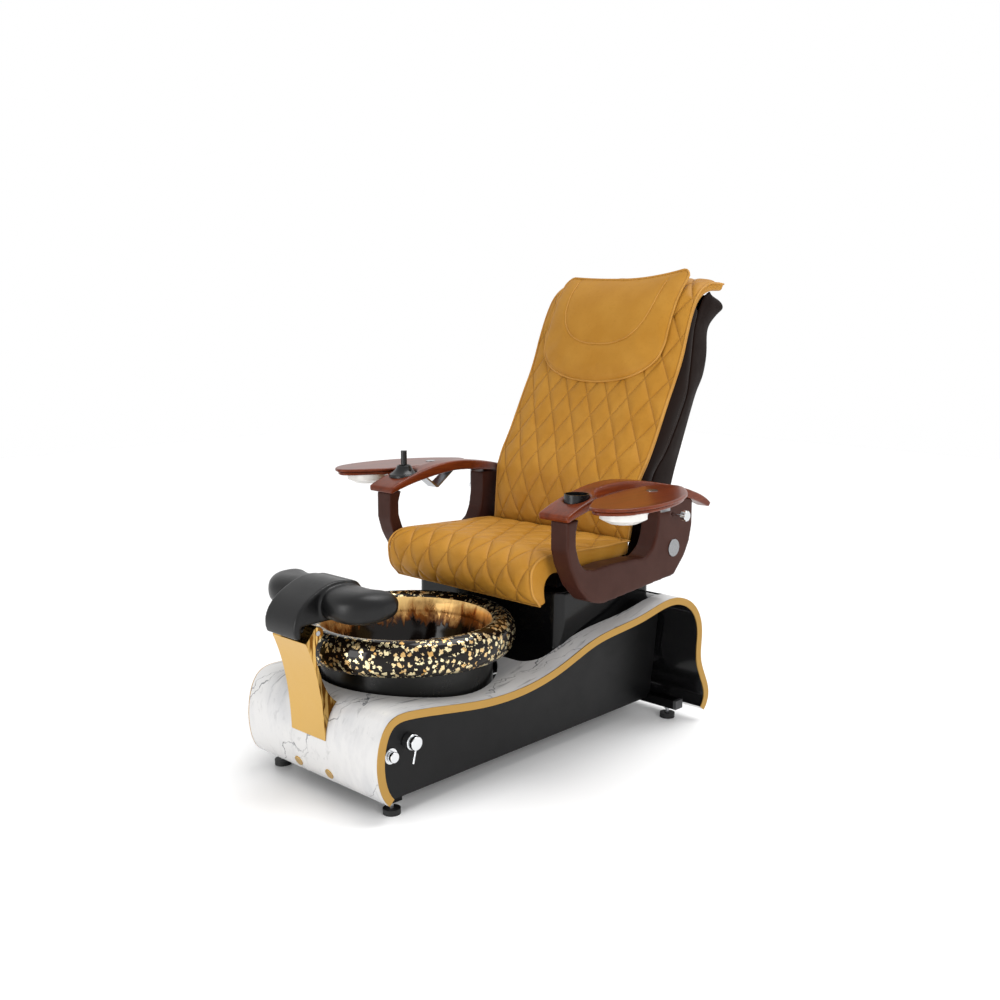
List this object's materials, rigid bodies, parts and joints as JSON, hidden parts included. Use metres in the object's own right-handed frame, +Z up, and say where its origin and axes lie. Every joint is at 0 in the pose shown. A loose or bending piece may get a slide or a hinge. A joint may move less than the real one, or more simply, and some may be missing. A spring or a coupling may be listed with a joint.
{
  "type": "pedicure spa chair",
  "caption": "Pedicure spa chair: quilted massage seat on a curved laminate base with a black and gold glass foot bath, a raised footrest, lifting arms and swing-out trays.",
  "frame": {"origin": "on the floor under the middle of the whole chair at rest", "axes": "+X to the sitter's left, the chair faces -Y, +Z up"},
  "size_m": [1.1396, 1.5342, 1.3081],
  "materials": {
    "laminate": "glossy stone-pattern laminate",
    "gold_band": "satin gold",
    "gold_post": "polished gold",
    "black_gloss": "glossy",
    "skirt_black": "satin",
    "frame_black": "powder coat",
    "cap_grey": "satin",
    "foot_rubber": "matte",
    "zinc": "satin zinc",
    "bowl_glass": "black glass with gold flakes",
    "ring_black": "glossy",
    "jet_grey": "satin",
    "chrome": "polished",
    "foot_pad": "satin moulded skin",
    "vinyl_caramel": "satin vinyl",
    "leather_dark": "satin vinyl",
    "shell_dark": "satin",
    "arm_paint": "satin paint",
    "cap_wood": "glossy stain",
    "dish_white": "glossy",
    "black_plastic": "satin",
    "silver_disc": "satin",
    "steel_frame": "powder coat",
    "roller_plastic": "satin"
  },
  "bodies": {
    "base": {"wave_panel": "laminate", "edge_trim_left": "gold_band", "edge_trim_right": "gold_band", "gold_caps": "gold_post", "side_skirt_left": "skirt_black", "side_skirt_right": "skirt_black", "base_frame": "frame_black", "crossbar_caps": "cap_grey", "levelling_feet": "foot_rubber", "foot_stems": "zinc", "moulded_tray": "black_gloss", "seat_plinth": "black_gloss", "tub_ring": "ring_black", "foot_bowl": "bowl_glass", "jet_housing": "jet_grey", "jet_cap": "jet_grey", "drain_fitting": "chrome", "footrest_post": "gold_post", "footrest_pin": "zinc", "mixer_body": "chrome", "drain_bezel": "chrome", "slide_rails": "zinc", "slide_actuator": "steel_frame"},
    "jet_impeller": {"jet_impeller": "roller_plastic"},
    "mixer_knob": {"mixer_knob": "chrome"},
    "drain_knob": {"drain_knob": "chrome"},
    "footrest": {"footrest_pad": "foot_pad"},
    "seat": {"seat_frame": "steel_frame", "seat_pan": "black_gloss", "seat_cushion": "vinyl_caramel"},
    "back": {"back_frame": "steel_frame", "back_pad": "vinyl_caramel", "back_gusset": "leather_dark", "back_shell": "shell_dark", "headrest_pillow": "vinyl_caramel"},
    "massage_carriage": {"massage_carriage": "steel_frame"},
    "massage_rollers": {"massage_rollers": "roller_plastic"},
    "arm_left": {"arm_panel_left": "arm_paint", "arm_cap_left": "cap_wood", "tray_bracket_left": "zinc", "cup_holder": "black_plastic", "arm_disc": "silver_disc"},
    "arm_right": {"arm_panel_right": "arm_paint", "arm_cap_right": "cap_wood", "tray_bracket_right": "zinc", "joystick_base": "black_plastic"},
    "tray_left": {"tray_board_left": "cap_wood", "dish_left": "dish_white"},
    "tray_right": {"tray_board_right": "cap_wood", "dish_right": "dish_white"},
    "lid_left": {"lid_left": "cap_wood", "lid_hinge_left": "zinc", "lid_emblem_left": "silver_disc"},
    "lid_right": {"lid_right": "cap_wood", "lid_hinge_right": "zinc", "lid_emblem_right": "silver_disc"},
    "lock_left": {"lock_knob_left": "chrome"},
    "lock_right": {"lock_knob_right": "chrome"},
    "joystick_gimbal": {"joystick_gimbal": "black_plastic"},
    "joystick_stick": {"joystick_stick": "black_plastic"}
  },
  "joints": [
    {"name": "seat_slide", "type": "slide", "parent": "base", "child": "seat", "axis": [0, -1, 0], "range_m": [0, 0.1]},
    {"name": "back_recline", "type": "hinge", "parent": "seat", "child": "back", "pos_m": [0, 0.315, 0.535], "axis": [-1, 0, 0], "range_deg": [0, 25]},
    {"name": "massage_climb", "type": "slide", "parent": "back", "child": "massage_carriage", "axis": [0, 0.4623, 0.8867], "range_m": [0, 0.24]},
    {"name": "roller_spin", "type": "hinge", "parent": "massage_carriage", "child": "massage_rollers", "pos_m": [0, 0.39821, 0.83696], "axis": [1, 0, 0], "continuous": true},
    {"name": "arm_lift_left", "type": "hinge", "parent": "seat", "child": "arm_left", "pos_m": [0, 0.315, 0.535], "axis": [-1, 0, 0], "range_deg": [0, 50]},
    {"name": "arm_lift_right", "type": "hinge", "parent": "seat", "child": "arm_right", "pos_m": [0, 0.315, 0.535], "axis": [-1, 0, 0], "range_deg": [0, 50]},
    {"name": "lock_pull_left", "type": "slide", "parent": "arm_left", "child": "lock_left", "axis": [1, 0, 0], "range_m": [0, 0.01], "stiffness_N_per_m": 400},
    {"name": "lock_pull_right", "type": "slide", "parent": "arm_right", "child": "lock_right", "axis": [-1, 0, 0], "range_m": [0, 0.01], "stiffness_N_per_m": 400},
    {"name": "tray_swing_left", "type": "hinge", "parent": "arm_left", "child": "tray_left", "pos_m": [0.40907, 0.21983, 0.7], "axis": [0, 0, 1], "range_deg": [0, 55]},
    {"name": "tray_swing_right", "type": "hinge", "parent": "arm_right", "child": "tray_right", "pos_m": [-0.40907, 0.21983, 0.7], "axis": [0, 0, -1], "range_deg": [0, 55]},
    {"name": "lid_flip_left", "type": "hinge", "parent": "tray_left", "child": "lid_left", "pos_m": [0.37879, 0.01579, 0.7158], "axis": [0.225, -0.9744, 0], "range_deg": [0, 70]},
    {"name": "lid_flip_right", "type": "hinge", "parent": "tray_right", "child": "lid_right", "pos_m": [-0.37879, 0.01579, 0.7158], "axis": [0.225, 0.9744, 0], "range_deg": [0, 70]},
    {"name": "stick_side_tilt", "type": "hinge", "parent": "arm_right", "child": "joystick_gimbal", "pos_m": [-0.335, -0.069, 0.722], "axis": [1, 0, 0], "range_deg": [-12, 12], "stiffness_Nm_per_rad": 0.6},
    {"name": "stick_fore_tilt", "type": "hinge", "parent": "joystick_gimbal", "child": "joystick_stick", "pos_m": [-0.335, -0.069, 0.722], "axis": [0, 1, 0], "range_deg": [-12, 12], "stiffness_Nm_per_rad": 0.6},
    {"name": "footrest_tilt", "type": "hinge", "parent": "base", "child": "footrest", "pos_m": [0, -0.704, 0.436], "axis": [1, 0, 0], "range_deg": [-15, 5]},
    {"name": "mixer_turn", "type": "hinge", "parent": "base", "child": "mixer_knob", "pos_m": [0.253, -0.588, 0.186], "axis": [1, 0, 0], "range_deg": [-60, 60]},
    {"name": "drain_turn", "type": "hinge", "parent": "base", "child": "drain_knob", "pos_m": [0.253, -0.646, 0.164], "axis": [1, 0, 0], "range_deg": [0, 90]},
    {"name": "jet_spin", "type": "hinge", "parent": "base", "child": "jet_impeller", "pos_m": [-0.06498, -0.18346, 0.262], "axis": [-0.342, 0.9397, 0], "continuous": true}
  ]
}
